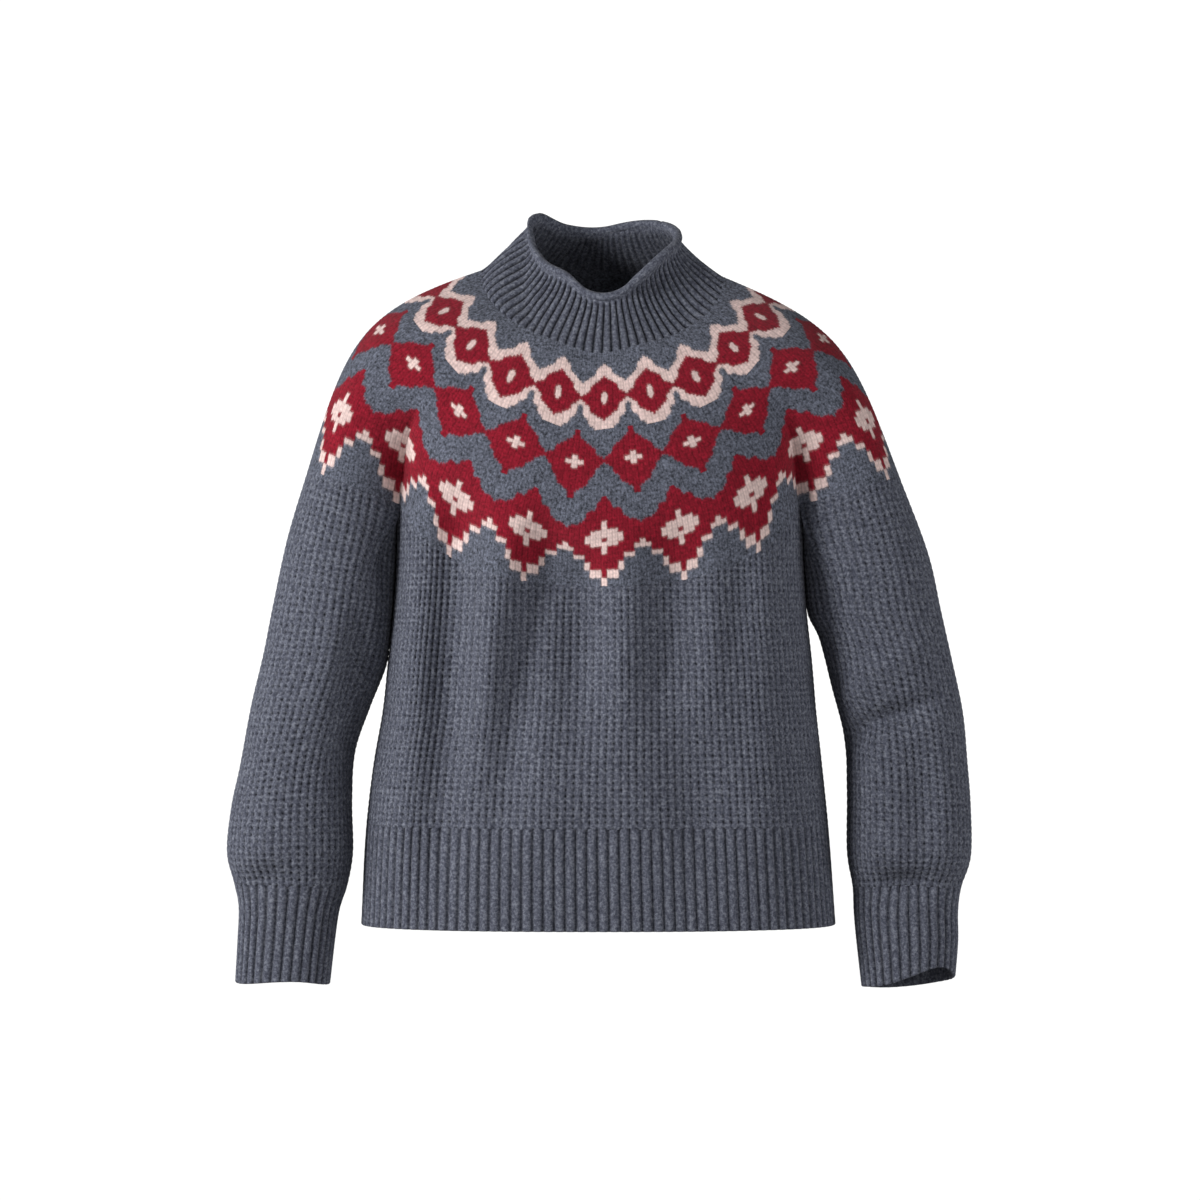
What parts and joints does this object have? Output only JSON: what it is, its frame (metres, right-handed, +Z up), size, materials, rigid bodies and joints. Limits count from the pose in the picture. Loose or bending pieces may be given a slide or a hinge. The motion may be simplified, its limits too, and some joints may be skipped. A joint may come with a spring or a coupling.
{
  "type": "mock neck sweater",
  "caption": "Hollow knitted pullover with a rolled mock neck, a round Fair Isle yoke, waffle-knit body and sleeves, and deep ribbed hem and cuffs.",
  "frame": {"origin": "middle of the neck opening at shoulder height, where the wearer's shoulders hold the garment up", "axes": "+X towards the wearer's left sleeve, +Y out of the back so that the front faces -Y, +Z up out of the neck"},
  "size_m": [0.6904, 0.2397, 0.7197],
  "materials": {
    "slate_knit": "matt waffle knit in heathered slate blue-grey wool",
    "slate_rib": "matt knitted rib in heathered slate blue-grey wool",
    "patterned_knit": "smooth stranded knit with a traditional pattern in deep red and pale pink on slate blue-grey"
  },
  "bodies": {
    "root": {"yoke": "patterned_knit", "collar": "slate_rib", "front": "slate_knit", "back": "slate_knit", "hem_rib_front": "slate_rib", "hem_rib_back": "slate_rib", "sleeve_left": "slate_knit", "sleeve_right": "slate_knit", "cuff_left": "slate_rib", "cuff_right": "slate_rib"}
  },
  "joints": []
}
